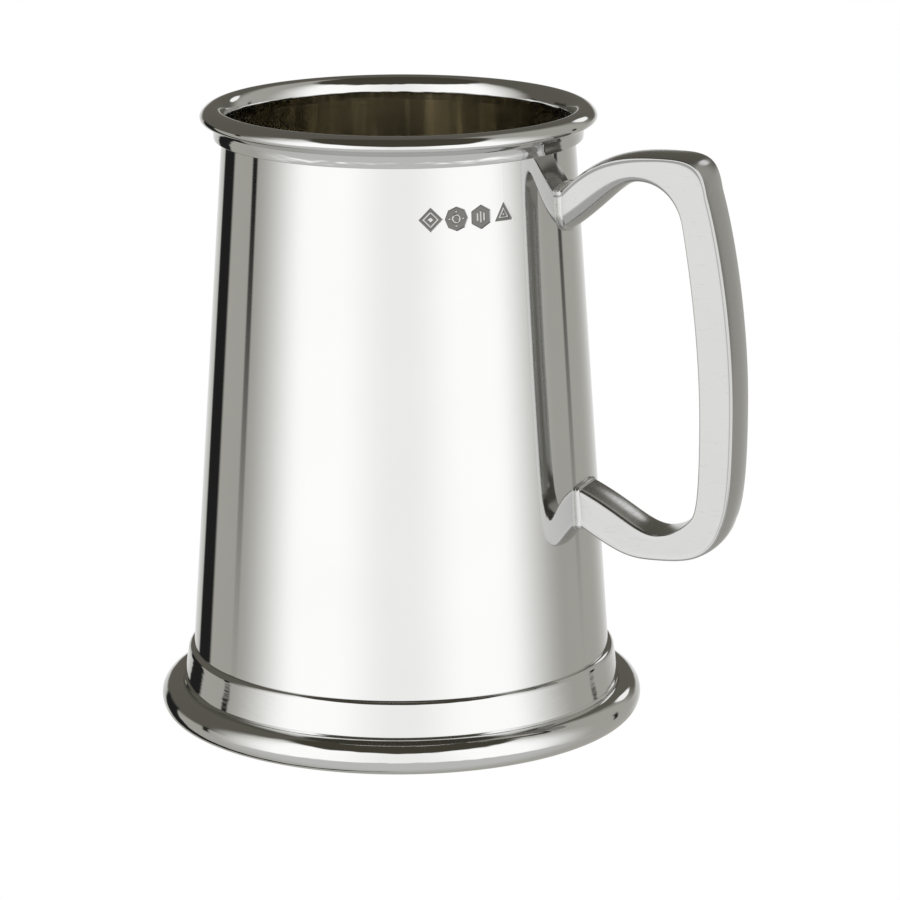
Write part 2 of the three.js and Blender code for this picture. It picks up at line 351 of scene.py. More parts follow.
def place_group(tree, group, **values):
    node = add_node(tree, "ShaderNodeGroup", node_tree=group)
    for name, value in values.items():
        feed(tree, node, name, value)
    return node


def pewter(
    name, colour_value, roughness, lines=0.5, scratches=0.35, rings=9000.0, wobble=0.0, patina=0.0,
    patina_colour=None, streaks=0.0,
):
    """Polished pewter: a metal whose roughness follows turning lines, mop clouds and hairlines; painted
    highlight streaks can lighten its colour.
    """
    material = bpy.data.materials.new(name)
    material.use_nodes = True
    tree = material.node_tree
    shader = tree.nodes["Principled BSDF"]
    coordinates = add_node(tree, "ShaderNodeTexCoord").outputs["Object"]
    turning = place_group(tree, shared("turning"), Vector=coordinates, Rings=rings)
    hairs = place_group(tree, shared("scratch"), Vector=coordinates)
    shade = tuple(0.985 * c for c in colour_value)
    feed(tree, shader, "Metallic", 1.0)
    tone = mix_colour(
        tree, remap(tree, turning.outputs["Cloud"], 0.35, 0.7), (*colour_value, 1), (*shade, 1))
    ring_share = maths(tree, "MULTIPLY", remap(tree, turning.outputs["Lines"], 0.4, 0.75), lines * roughness)
    hair_share = maths(tree, "MULTIPLY", hairs.outputs["Scratches"], scratches * roughness)
    dull = maths(tree, "ADD", maths(tree, "ADD", ring_share, hair_share), roughness, clamp=True)
    if streaks:
        # Painted highlight: the base colour is lightened in narrow upright streaks, standing in for the
        # vertical reflection streaks inside the cup.
        upright = add_node(tree, "ShaderNodeMapping")
        feed(tree, upright, "Vector", coordinates)
        feed(tree, upright, "Scale", (1.0, 1.0, 0.04))
        stripe = add_node(tree, "ShaderNodeTexNoise")
        feed(tree, stripe, "Vector", upright.outputs[0])
        feed(tree, stripe, "Scale", 230.0)
        feed(tree, stripe, "Detail", 1.5)
        painted_highlight = tuple(min(1.0, (1 + streaks) * c) for c in colour_value)
        tone = mix_colour(tree, remap(tree, stripe.outputs[0], 0.52, 0.62), tone, (*painted_highlight, 1))
    if patina:
        struck = add_node(tree, "ShaderNodeAttribute", attribute_name="patina").outputs["Fac"]
        depth = maths(tree, "MULTIPLY", struck, patina)
        tone = mix_colour(tree, depth, tone, (*patina_colour, 1))
        dull = maths(tree, "ADD", dull, maths(tree, "MULTIPLY", depth, 0.15), clamp=True)
    feed(tree, shader, "Base Color", tone)
    feed(tree, shader, "Roughness", dull)
    bump = add_node(tree, "ShaderNodeBump")
    feed(tree, bump, "Strength", 0.02)
    feed(tree, bump, "Distance", 0.00002)
    feed(tree, bump, "Height", turning.outputs["Lines"])
    if wobble:
        sway = add_node(tree, "ShaderNodeBump")
        feed(tree, sway, "Strength", 1.0)
        feed(tree, sway, "Distance", wobble)
        feed(tree, sway, "Height", turning.outputs["Sway"])
        feed(tree, bump, "Normal", sway.outputs[0])
    feed(tree, shader, "Normal", bump.outputs[0])
    return material


_shared = {}
SHARED_MAKERS = {"turning": turning_group, "scratch": scratch_group}


def shared(name):
    if name not in _shared:
        _shared[name] = SHARED_MAKERS[name]()
    return _shared[name]


def material_once(name, maker, *values, **options):
    found = bpy.data.materials.get(name)
    return found or maker(name, *values, **options)


def moulding_pewter(scene):
    finish = scene.tankard_finish
    return material_once(
        "Moulding Pewter", pewter, tuple(finish.pewter), finish.mirror, wobble=finish.sway)


def marked_pewter(scene):
    finish = scene.tankard_finish
    return material_once(
        "Marked Pewter", pewter, tuple(finish.pewter), finish.mirror, patina=finish.patina,
        patina_colour=tuple(finish.patina_colour))


def inside_pewter(scene):
    finish = scene.tankard_finish
    # The inside's colour carries painted highlight streaks.
    return material_once(
        "Inside Pewter", pewter, tuple(finish.inside_metal), finish.inside, lines=0.6, rings=5000.0,
        streaks=0.45)


def base_pewter(scene):
    finish = scene.tankard_finish
    return material_once(
        "Base Pewter", pewter, tuple(finish.inside_metal), 2 * finish.inside, lines=1.0, rings=4000.0)


def hand_pewter(scene):
    finish = scene.tankard_finish
    return material_once(
        "Hand Polished Pewter", pewter, tuple(finish.casting), finish.hand, lines=0.3, scratches=0.8)


def solder_metal(scene):
    finish = scene.tankard_finish
    return material_once(
        "Wiped Solder", pewter, tuple(finish.solder), 0.2, lines=0.5, scratches=1.0)


# ------------------------------------------------------------------ mesh helpers


def arc(centre, radius, start, stop, steps):
    """Points of an arc in the (radius, height) plane; angles in degrees from +radius."""
    points = []
    for i in range(steps + 1):
        a = math.radians(start + (stop - start) * i / steps)
        points.append((centre[0] + radius * math.cos(a), centre[1] + radius * math.sin(a)))
    return points


def profile_edges(bm, profile, closed=True):
    verts = [bm.verts.new((r, 0.0, z)) for r, z in profile]
    pairs = list(zip(verts, verts[1:]))
    if closed:
        pairs.append((verts[-1], verts[0]))
    return verts + [bm.edges.new(pair) for pair in pairs]


def spin(bm, geometry, turn, steps, full=False):
    made = bmesh.ops.spin(
        bm, geom=geometry, cent=(0, 0, 0), axis=(0, 0, 1), dvec=(0, 0, 0), angle=turn,
        steps=steps, use_merge=full, use_normal_flip=False, use_duplicate=False)
    return made["geom_last"]


def sweep_rings(bm, count, stations, place):
    """Extrudes a ring of `count` points along the stations; place(station, k) is where point k goes."""
    line = bm.verts.layers.int.new("line")
    ring = bmesh.ops.create_circle(bm, segments=count, radius=1.0)["verts"]
    for k, vert in enumerate(ring):
        vert[line] = k
        vert.co = place(0, k)
    edges = bm.edges[:]
    first = edges
    for station in range(1, stations):
        made = bmesh.ops.extrude_edge_only(bm, edges=edges)["geom"]
        for vert in (item for item in made if isinstance(item, bmesh.types.BMVert)):
            vert.co = place(station, vert[line])
        edges = [item for item in made if isinstance(item, bmesh.types.BMEdge) and item.is_boundary]
    bmesh.ops.holes_fill(bm, edges=first + edges, sides=0)
    bm.verts.layers.int.remove(line)


def finish_piece(bm, name, materials, nodes, sharp=32.0):
    """Merges seams, points faces outwards, shades smooth and hands the piece to the frame."""
    bmesh.ops.remove_doubles(bm, verts=bm.verts, dist=MERGE_DISTANCE)
    bmesh.ops.recalc_face_normals(bm, faces=bm.faces)
    for face in bm.faces:
        face.smooth = True
    mesh = bpy.data.meshes.new(name)
    bm.to_mesh(mesh)
    bm.free()
    mesh.set_sharp_from_angle(angle=math.radians(sharp))
    for material in materials:
        mesh.materials.append(material)
    piece = bpy.data.objects.new(name, mesh)
    bpy.context.scene.collection.objects.link(piece)
    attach(piece, BODY)
    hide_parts(*nodes)
    return piece


def turned_piece(scene, name, profile, materials, node):
    bm = bmesh.new()
    spin(bm, profile_edges(bm, profile), math.tau, scene.tankard_vessel.turns, full=True)
    return finish_piece(bm, name, materials, [node])


# ------------------------------------------------------------------ drum and marks


def step_down(distance, edge):
    """1 well inside a boundary, 0 outside it, with a smooth edge; distance is negative inside."""
    t = min(1.0, max(0.0, 0.5 - distance / edge))
    return t * t * (3 - 2 * t)


def polygon_distance(u, v, sides, radius):
    """Signed distance to a regular polygon with a corner straight up."""
    inner = radius * math.cos(math.pi / sides)
    return max(
        u * math.sin((2 * k + 1) * math.pi / sides) + v * math.cos((2 * k + 1) * math.pi / sides)
        for k in range(sides)) - inner


def ring_distance(u, v, radius, half_width):
    return abs(math.hypot(u, v) - radius) - half_width


def bar_distance(u, v, centre, half_width, half_height):
    return max(abs(u - centre) - half_width, abs(v) - half_height)


def lozenge_figure(u, v, s):
    frame_line = abs(polygon_distance(u, v, 4, 0.62 * s)) - 0.055 * s
    return min(frame_line, polygon_distance(u, v, 4, 0.24 * s))


def octagon_figure(u, v, s):
    dots = min(math.hypot(u - 0.6 * s * math.sin(k * math.pi / 2), v - 0.6 * s * math.cos(k * math.pi / 2))
               for k in range(4)) - 0.09 * s
    return min(ring_distance(u, v, 0.32 * s, 0.06 * s), dots)


def hexagon_figure(u, v, s):
    return min(bar_distance(u, v, k * 0.3 * s, 0.07 * s, (0.5 - 0.14 * abs(k)) * s) for k in (-1, 0, 1))


def triangle_figure(u, v, s):
    steps = abs(polygon_distance(u, v, 3, 0.5 * s)) - 0.05 * s
    return min(steps, math.hypot(u, v) - 0.1 * s)


MARKS = ((4, lozenge_figure), (8, octagon_figure), (6, hexagon_figure), (3, triangle_figure))


def mark_depth(marks, u, v, sides, figure):
    """How far a point of the drum is pressed in by one punch; a struck edge rises a little round it."""
    radius = marks.size / 2
    outline = polygon_distance(u, v, sides, radius)
    if outline > 4 * marks.edge:
        return 0.0
    sunk = step_down(outline, marks.edge) * marks.depth
    raised = step_down(figure(u, v, radius), marks.edge) * 0.8 * marks.depth
    burr = 0.05 * marks.depth * math.exp(-((outline / marks.edge - 1.2) ** 2))
    return max(0.0, sunk - raised) - burr


def press_marks(bm, vessel, marks):
    slope = drum_slope(vessel)
    inward = Vector((-1.0, 0.0, slope)).normalized()
    reach = marks.size
    patina = bm.verts.layers.float.new("patina")
    for vert in bm.verts:
        radius = math.hypot(vert.co.x, vert.co.y)
        v = (vert.co.z - marks.height) * math.hypot(1, slope)
        if abs(v) > reach or radius < drum_bore(vessel, vert.co.z) + 0.5 * vessel.wall:
            continue
        turn = math.atan2(vert.co.y, vert.co.x)
        for i, (sides, figure) in enumerate(MARKS):
            u = radius * (turn - marks.first_angle - i * marks.pitch)
            if abs(u) > reach:
                continue
            depth = mark_depth(marks, u, v, sides, figure)
            vert.co += Matrix.Rotation(turn, 3, "Z") @ inward * depth
            vert[patina] = max(vert[patina], min(1.0, max(0.0, depth / marks.depth)))


def drum_profile(vessel, marks):
    """Closed outline of the wall, with close rows where the marks are struck."""
    top = RIM_HIGH.z - vessel.drum_top
    rows = 66
    half = 0.62 * marks.size
    heights = [DRUM_LOW.z, marks.height - half]
    heights += [marks.height - half + 2 * half * (i + 1) / rows for i in range(rows)]
    heights.append(top)
    outer = [(drum_radius(vessel, z), z) for z in heights]
    return outer + [(drum_bore(vessel, top), top), (drum_bore(vessel, DRUM_LOW.z), DRUM_LOW.z)]


class TANKARD_OT_drum(bpy.types.Operator):
    """Spins the tapered drum and strikes the row of marks into it"""

    bl_idname = "tankard.drum"
    bl_label = "Drum"

    def execute(self, context):
        scene = context.scene
        vessel, marks = scene.tankard_vessel, scene.tankard_marks
        margin = math.radians(5.0)
        start = marks.first_angle - margin
        fine = 3 * marks.pitch + 2 * margin
        apron = math.radians(6.0)
        bm = bmesh.new()
        geometry = profile_edges(bm, drum_profile(vessel, marks))
        bmesh.ops.rotate(bm, verts=bm.verts, cent=(0, 0, 0), matrix=Matrix.Rotation(start, 3, "Z"))
        for turn, steps in ((fine, 200), (apron, 12), (math.tau - fine - 2 * apron, 300), (apron, 12)):
            geometry = spin(bm, geometry, turn, steps)
        bmesh.ops.remove_doubles(bm, verts=bm.verts, dist=MERGE_DISTANCE)
        press_marks(bm, vessel, marks)
        middle = vessel.wall / 2
        for face in bm.faces:
            place = face.calc_center_median()
            if math.hypot(place.x, place.y) < drum_radius(vessel, place.z) - middle:
                face.material_index = 1
        finish_piece(
            bm, "drum_shell", [marked_pewter(scene), inside_pewter(scene)], ["drum"], sharp=60.0)
        return {"FINISHED"}


# ------------------------------------------------------------------ rim, foot, disc and ring solders


def rim_profile(vessel):
    """Collar, straight underside, tight turn at the widest point, wide roll over the top, and lip."""
    collar_bottom, top, widest = RIM_LOW.z, RIM_HIGH.z, RIM_HIGH.x
    drum_at_collar = drum_radius(vessel, collar_bottom)
    collar = drum_at_collar + vessel.collar_overhang
    roll = Vector((widest - vessel.crest_setback, top - vessel.rim_roll))
    spread = vessel.rim_roll - vessel.rim_bead
    meeting = math.acos((vessel.crest_setback - vessel.rim_bead) / spread)
    bead = roll + spread * Vector((math.cos(meeting), math.sin(meeting)))
    corner = Vector((collar + vessel.collar_cove, top - vessel.underside_depth))
    to_bead = bead - corner
    underside = math.atan2(to_bead.y, to_bead.x) - math.asin(vessel.rim_bead / to_bead.length)
    lip_z = top - vessel.lip_depth
    lip_reach = roll.x - drum_bore(vessel, lip_z)
    lip = [(roll.x + lip_reach * x, lip_z + vessel.lip_depth * z) for x, z in arc((0, 0), 1, 90, 180, 24)]
    drum_top = top - vessel.drum_top
    cut = vessel.arris
    cove = vessel.collar_cove
    return (
        [(drum_at_collar, collar_bottom)]
        + arc((collar - cut, collar_bottom + cut), cut, -80, -5, 4)
        + [(collar + part * cove, corner.y - drop) for part, drop in zip((0.2, 0.6), COVE_DROPS)]
        + [tuple(corner)]
        + arc(bead, vessel.rim_bead, math.degrees(underside) - 90, math.degrees(meeting), 22)
        + arc(roll, vessel.rim_roll, math.degrees(meeting), 90, 18)[1:]
        + lip[1:]
        + [(drum_bore(vessel, drum_top), drum_top), (drum_radius(vessel, drum_top), drum_top)]
    )


class TANKARD_OT_rim(bpy.types.Operator):
    """Turns the rim moulding: collar, bead and rounded lip"""

    bl_idname = "tankard.rim"
    bl_label = "Rim moulding"

    def execute(self, context):
        scene = context.scene
        profile = rim_profile(scene.tankard_vessel)
        turned_piece(scene, "rim_ring", profile, [moulding_pewter(scene)], "rim_moulding")
        return {"FINISHED"}


def foot_profile(vessel):
    band_top = FOOT_HIGH.z
    band_bottom = band_top - vessel.band_height
    bead = (FOOT_HIGH.x - vessel.foot_bead, vessel.foot_bead - vessel.foot_flat)
    lower = bead[0] - vessel.foot_bead_overhang
    lap_top = drum_radius(vessel, band_top)
    upper = lower - vessel.band_flare - drum_slope(vessel) * (band_bottom - band_top)
    hollow = vessel.foot_bead - vessel.foot_shell
    flat = math.degrees(math.asin(bead[1] / vessel.foot_bead))
    web = band_bottom - vessel.foot_web
    rise, run = vessel.shoulder, upper - lap_top
    shoulder = [(lap_top + run * x, band_top - rise * (1 - z)) for x, z in arc((0, 0), 1, 0, 90, 14)]
    return (
        [(drum_radius(vessel, web), web)]
        + arc(bead, hollow, 110, -145, 28)
        + arc(bead, vessel.foot_bead, -145, flat - 180, 6)
        + arc(bead, vessel.foot_bead, -flat, 108, 44)
        + [(lower - BAND_EDGE, band_bottom - BAND_EDGE), (lower, band_bottom)]
        + shoulder
    )


class TANKARD_OT_foot(bpy.types.Operator):
    """Turns the hollow foot: upright band, bead and the rolled edge it stands on"""

    bl_idname = "tankard.foot"
    bl_label = "Foot moulding"

    def execute(self, context):
        scene = context.scene
        profile = foot_profile(scene.tankard_vessel)
        turned_piece(scene, "foot_ring", profile, [moulding_pewter(scene)], "foot_moulding")
        return {"FINISHED"}


class TANKARD_OT_base(bpy.types.Operator):
    """Turns the base disc and the two ring fillets of solder that hold the base together"""

    bl_idname = "tankard.base"
    bl_label = "Base disc and solder rings"

    def execute(self, context):
        scene = context.scene
        vessel = scene.tankard_vessel
        low, high = DISC_LOW.z, DISC_HIGH.z
        bm = bmesh.new()
        rim_low, rim_high = drum_bore(vessel, low), drum_bore(vessel, high)
        dish = vessel.base_dish
        profile = [
            (0.0, low + dish), (0.4 * rim_low, low + 0.7 * dish), (0.8 * rim_low, low), (rim_low, low),
            (rim_high, high), (0.9 * rim_high, high), (0.5 * rim_high, high - 0.6 * dish), (0.0, high - dish),
        ]
        spin(bm, profile_edges(bm, profile, closed=False), math.tau, vessel.turns, full=True)
        finish_piece(bm, "base_plate", [base_pewter(scene)], ["base_disc"])

        for name, node in (("base_solder_ring", "base_solder"), ("foot_solder_ring", "foot_solder")):
            corner_low, corner_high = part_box(node)
            inner = name == "base_solder_ring"
            wall = drum_bore(vessel, corner_high.z) if inner else drum_radius(vessel, corner_high.z)
            side = -1 if inner else 1
            leg = corner_high.z - corner_low.z
            hollow = [(wall + side * leg * (1 - math.sin(a)), corner_high.z - leg * (1 - math.cos(a)))
                      for a in (math.radians(9 * k) for k in range(11))]
            profile = [(wall, corner_high.z)] + hollow
            turned_piece(scene, name, profile, [solder_metal(scene)], node)
        return {"FINISHED"}


# ------------------------------------------------------------------ handle


def bezier(points, t):
    """A point on the cubic curve of four (x, z) control points."""
    a, b, c, d = (Vector(p) for p in points)
    s = 1 - t
    return s * s * s * a + 3 * s * s * t * b + 3 * s * t * t * c + t * t * t * d


def handle_curves(vessel, handle):
    """The side face's outer and inner edges, as six curves each from the upper to the lower root."""
    mm = 0.001
    top = RIM_HIGH.z - handle.drop
    bottom = top - handle.height
    belly = top - handle.belly_drop
    reach = HANDLE_HIGH.x - handle.crown
    crest = reach - handle.crest_setback
    low = reach - handle.heel_setback
    grip = reach - handle.grip
    under = top - handle.upper_arm
    over = bottom + handle.lower_arm
    inset = 4 * mm

    def root(z):
        return drum_radius(vessel, z) - inset, z

    upper_out, upper_in = root(top - 9.8 * mm), root(top - 17.6 * mm)
    lower_out, lower_in = root(bottom + 8.5 * mm), root(bottom + 15.4 * mm)
    upper_out = (upper_out[0], upper_out[1] - inset)
    shoulder = (reach - 6.1 * mm, top - 7.3 * mm)
    heel = (reach - 2.1 * mm, bottom + 8 * mm)
    inner_crest = (crest - 5.7 * mm, under)
    inner_shoulder = (grip - 4.2 * mm, under - 8.8 * mm)
    inner_belly = (grip, belly - 3.4 * mm)
    inner_heel = (grip - 1.5 * mm, over + 4.2 * mm)
    inner_low = (low + 2 * mm, over)

    outer = [
        (upper_out, (crest - 18.4 * mm, top - 3.2 * mm), (crest - 14 * mm, top + 0.1 * mm), (crest, top)),
        ((crest, top), (crest + 7 * mm, top + 0.1 * mm), (reach - 7.1 * mm, top - 1.8 * mm), shoulder),
        (shoulder, (reach - 2.7 * mm, top - 18.8 * mm), (reach, belly + 15.6 * mm), (reach, belly)),
        ((reach, belly), (reach, belly - 10.4 * mm), (reach - 0.3 * mm, bottom + 12 * mm), heel),
        (heel, (reach - 4.3 * mm, bottom + 0.6 * mm), (low + 8.5 * mm, bottom), (low, bottom)),
        ((low, bottom), (low - 5.5 * mm, bottom), (low - 8.5 * mm, bottom + 2 * mm), lower_out),
    ]
    inner = [
        (upper_in, (crest - 17 * mm, under - 8.3 * mm), (crest - 12 * mm, under), inner_crest),
        (inner_crest, (crest - 0.5 * mm, under), (grip - 5.1 * mm, under - 3.8 * mm), inner_shoulder),
        (inner_shoulder, (grip - 2.3 * mm, under - 19.3 * mm), (grip, belly + 12.6 * mm), inner_belly),
        (inner_belly, (grip, belly - 12 * mm), (grip - 0.1 * mm, over + 6.2 * mm), inner_heel),
        (inner_heel, (grip - 2.9 * mm, over + 2.2 * mm), (low + 5 * mm, over), inner_low),
        (inner_low, (low - 3 * mm, over), (low - 6.5 * mm, over + 5.2 * mm), lower_in),
    ]
    return outer, inner


def crowned_face(half_width, arris, height, steps):
    """(y, rise) points across a face that swells by `height` in the middle, from +y to -y."""
    flat = half_width - arris
    hem = min(0.08 * flat, HEM)
    inner = [(flat - hem) * (1 - 2 * k / steps) for k in range(1, steps)]
    ys = [flat, flat - hem] + inner + [hem - flat, -flat]
    return [(y, height * (1 - (y / half_width) ** 2)) for y in ys]


def corner_rise(half_width, arris, height):
    """Where the line carried on from a crowned face's edge meets the side face."""
    flat = half_width - arris
    return height * (1 - (flat / half_width) ** 2) - 2 * height * flat / half_width ** 2 * arris


def side_flare(handle, from_edge):
    """How far the side face stands in from the full width; it flares out to a lip at the outer edge."""
    t = max(0.0, 1 - from_edge / handle.flare_width)
    return handle.flare * (1 - t * t)


def turned_corner(start, corner, stop, steps):
    """Points strictly between start and stop on the curve that leaves both towards the corner."""
    points = []
    for k in range(1, steps):
        t = k / steps
        first, middle, last = (1 - t) ** 2, 2 * t * (1 - t), t * t
        points.append(tuple(first * start[i] + middle * corner[i] + last * stop[i] for i in (0, 1)))
    return points


def handle_section(handle, half_width, depth, swell, soft):
    """Closed loop of (y, q) points; q runs from 0 at the inner edge to `depth` at the outer edge."""
    crisp, steps = handle.arris, 5
    outer = [(y, depth + rise) for y, rise in crowned_face(half_width, crisp, handle.crown, 12)]
    slim = half_width - handle.flare
    inner = [(y, -rise) for y, rise in crowned_face(slim, soft, handle.crown + swell, 12)]
    room = depth - crisp - soft
    drops = [HEM + (room - 2 * HEM) * (k / 12) ** 1.6 for k in range(1, 12)]
    drops = [0.0, HEM] + drops + [room - HEM, room]
    side = [(half_width - side_flare(handle, drop), depth - crisp - drop) for drop in drops]
    left = [(-y, q) for y, q in side]
    right = side[::-1]
    top = depth + corner_rise(half_width, crisp, handle.crown)
    foot = -corner_rise(slim, soft, handle.crown + swell)
    return (
        outer
        + turned_corner(outer[-1], (-half_width, top), left[0], steps)
        + left
        + turned_corner(left[-1], (-slim, foot), inner[-1], steps)
        + inner[::-1]
        + turned_corner(inner[0], (slim, foot), right[0], steps)
        + right
        + turned_corner(right[-1], (half_width, top), outer[0], steps)
    )


class HandleForm:
    """The handle's surface: point(s, k) is section point k at s, from 0 in the upper root to 1."""

    def __init__(self, vessel, handle):
        self.vessel = vessel
        self.handle = handle
        self.outer, self.inner = handle_curves(vessel, handle)
        self.half_width = HANDLE_HIGH.y
        self.count = len(self.section(0.5))

    def edges(self, s):
        place = min(s * 6, 5.999999)
        index = int(place)
        return bezier(self.outer[index], place - index), bezier(self.inner[index], place - index)

    def section(self, s):
        handle = self.handle
        out, into = self.edges(s)
        under_arm = min(1.0, max(0.0, 1.25 - s * 6 / 1.3))
        ease = under_arm * under_arm * (3 - 2 * under_arm)
        lower_arm = min(1.0, max(0.0, (s * 6 - 4.2) / 1.3))
        softening = max(ease, 0.45 * lower_arm)
        soft = handle.arris + (handle.soft_arris - handle.arris) * softening
        return handle_section(handle, self.half_width, (out - into).length, handle.arm_swell * ease, soft)

    def point(self, s, k, loop=None):
        out, into = self.edges(s)
        y, q = (loop or self.section(s))[k % self.count]
        direction = (out - into).normalized()
        place = into + direction * q
        return Vector((place.x, y, place.y))

    def clearance(self, s, k):
        """How far the point stands off the drum's surface."""
        place = self.point(s, k)
        return math.hypot(place.x, place.y) - drum_radius(self.vessel, place.z)

    def root(self, k, stand_off, lower):
        """The s at which line k of the surface leaves the drum by `stand_off`."""
        inside, outside = (1.0, 0.85) if lower else (0.0, 0.15)
        for _ in range(30):
            middle = (inside + outside) / 2
            if self.clearance(middle, k) < stand_off:
                inside = middle
            else:
                outside = middle
        return outside


class TANKARD_OT_handle(bpy.types.Operator):
    """Lofts the cast handle from root to root, trimmed to stand on its solder pads"""

    bl_idname = "tankard.handle"
    bl_label = "Handle"

    def execute(self, context):
        scene = context.scene
        handle = scene.tankard_handle
        form = HandleForm(scene.tankard_vessel, handle)
        stations, count = handle.stations, form.count
        starts = [form.root(k, HANDLE_STAND_OFF, False) for k in range(count)]
        stops = [form.root(k, HANDLE_STAND_OFF, True) for k in range(count)]

        def place(station, k):
            return form.point(starts[k] + (stops[k] - starts[k]) * station / (stations - 1), k)

        bm = bmesh.new()
        sweep_rings(bm, count, stations, place)
        finish_piece(bm, "handle_casting", [hand_pewter(scene)], ["handle"], sharp=40.0)
        return {"FINISHED"}


class TANKARD_OT_pads(bpy.types.Operator):
    """Builds the wiped pads of solder between the handle's roots and the drum"""

    bl_idname = "tankard.pads"
    bl_label = "Handle solder pads"

    def execute(self, context):
        scene = context.scene
        vessel = scene.tankard_vessel
        form = HandleForm(vessel, scene.tankard_handle)
        spread = scene.tankard_handle.solder_spread
        rows = [  # rise above the drum, and share of the spread
            (0.0, 0.72), (0.00022, 0.95), (0.0005, 1.0), (0.00075, 0.85), (0.0009, 0.5), (0.001, 0.1),
            (0.0013, -0.7),
        ]
        for name, node, lower in (
            ("upper_solder_pad", "upper_handle_solder", False),
            ("lower_solder_pad", "lower_handle_solder", True),
        ):
            roots = [form.root(k, PAD_STAND_OFF, lower) for k in range(form.count)]
            lines = [form.point(s, k) for k, s in enumerate(roots)]
            middle = sum(lines, Vector()) / len(lines)

            def place(row, k):
                rise, bulge = rows[row]
                along = lines[(k + 1) % form.count] - lines[k - 1]
                out = Vector((0.0, along.z, -along.y)).normalized()
                if out.dot(lines[k] - middle) < 0:
                    out = -out
                spot = lines[k] + out * bulge * spread
                radius = drum_radius(vessel, spot.z) + rise
                spot.x = math.sqrt(radius * radius - spot.y * spot.y)
                return spot

            bm = bmesh.new()
            sweep_rings(bm, form.count, len(rows), place)
            finish_piece(bm, name, [solder_metal(scene)], [node])
        return {"FINISHED"}


# ------------------------------------------------------------------ stage


def stretch(tree, around, turn, half_width, fade):
    """1 along a stretch of wall on both sides of `turn`, falling softly to 0 over `fade`."""
    off = maths(tree, "WRAP", maths(tree, "SUBTRACT", around, turn), math.pi, -math.pi)
    return remap(tree, maths(tree, "ABSOLUTE", off), half_width + fade, half_width)


def grey(value):
    return value, value, value, 1


def build_studio(stage):
    """A room seen only in reflections: a soft front wall, plain side walls, black flags, an unlit back
    and ceiling, and a pale table. The camera itself sees white."""
    world = bpy.data.worlds.new("Studio")
    world.use_nodes = True
    bpy.context.scene.world = world
    tree = world.node_tree
    tree.nodes.clear()
    turned = add_node(tree, "ShaderNodeVectorRotate", rotation_type="Z_AXIS")
    feed(tree, turned, "Vector", add_node(tree, "ShaderNodeTexCoord").outputs["Generated"])
    feed(tree, turned, "Angle", math.pi - stage.azimuth)
    parts = add_node(tree, "ShaderNodeSeparateXYZ")
    feed(tree, parts, 0, turned.outputs[0])
    side, front, up = parts.outputs
    around = maths(tree, "ARCTAN2", maths(tree, "MULTIPLY", side, -1.0), front)
    quarter = math.pi / 4

    soft_wall = stretch(tree, around, 0.0, stage.front_reach, stage.front_fade)
    behind = stretch(tree, around, math.pi, 0.0, quarter)
    sweep = mix_colour(tree, behind, (*stage.side_wall, 1), grey(stage.far_table))
    unlit = mix_colour(
        tree, stretch(tree, around, stage.unlit_turn, stage.unlit_reach, quarter / 2), (*stage.side_wall, 1),
        (*stage.unlit, 1))
    plain = mix_colour(tree, remap(tree, up, -0.02, 0.1), sweep, unlit)
    boxes = maths(tree, "MAXIMUM", *(
        stretch(tree, around, turn, stage.soft_box_width, stage.soft_box_fade)
        for turn in (-stage.soft_box_turn, stage.soft_box_turn)))
    lit = mix_colour(tree, boxes, grey(stage.front_wall), grey(stage.soft_box))
    walls = mix_colour(tree, soft_wall, plain, lit)
    table = mix_colour(tree, remap(tree, front, -0.5, 0.4), (*stage.side_wall, 1), grey(stage.near_table))
    room = mix_colour(tree, remap(tree, up, -0.32, -0.41), walls, table)

    wide = stretch(tree, around, stage.left_flag, stage.left_flag_width, math.radians(4))
    thin = maths(
        tree, "MAXIMUM",
        stretch(tree, around, stage.left_post, stage.left_post_width, math.radians(2)),
        stretch(tree, around, stage.right_post, stage.right_post_width, math.radians(2)))
    thin = maths(tree, "MULTIPLY", thin, remap(tree, up, -0.24, -0.1))
    flags = maths(tree, "MULTIPLY", maths(tree, "MAXIMUM", wide, thin), remap(tree, up, 0.2, 0.05))
    room = mix_colour(tree, flags, room, grey(BLACK_CLOTH))

    height = maths(tree, "ADD", up, maths(tree, "MULTIPLY", front, 0.25))
    room = mix_colour(tree, remap(tree, height, 0.82, 0.88), room, (*stage.ceiling, 1))
    towards = Vector((-math.sin(stage.lamp_turn), math.cos(stage.lamp_turn), math.tan(stage.lamp_rise)))
    towards.normalize()
    facing = add_node(tree, "ShaderNodeVectorMath", operation="DOT_PRODUCT")
    feed(tree, facing, 0, turned.outputs[0])
    feed(tree, facing, 1, towards)
    lamp = remap(tree, facing.outputs["Value"], math.cos(1.5 * stage.lamp_size), math.cos(stage.lamp_size))
    reflected = add_node(tree, "ShaderNodeBackground")
    feed(tree, reflected, "Color", mix_colour(tree, lamp, room, grey(stage.front_wall)))
    feed(tree, reflected, "Strength", stage.light)
    seen = add_node(tree, "ShaderNodeBackground")
    feed(tree, seen, "Color", grey(1.0))
    chooser = add_node(tree, "ShaderNodeMixShader")
    feed(tree, chooser, 0, add_node(tree, "ShaderNodeLightPath").outputs["Is Camera Ray"])
    feed(tree, chooser, 1, reflected.outputs[0])
    feed(tree, chooser, 2, seen.outputs[0])
    feed(tree, add_node(tree, "ShaderNodeOutputWorld"), "Surface", chooser.outputs[0])


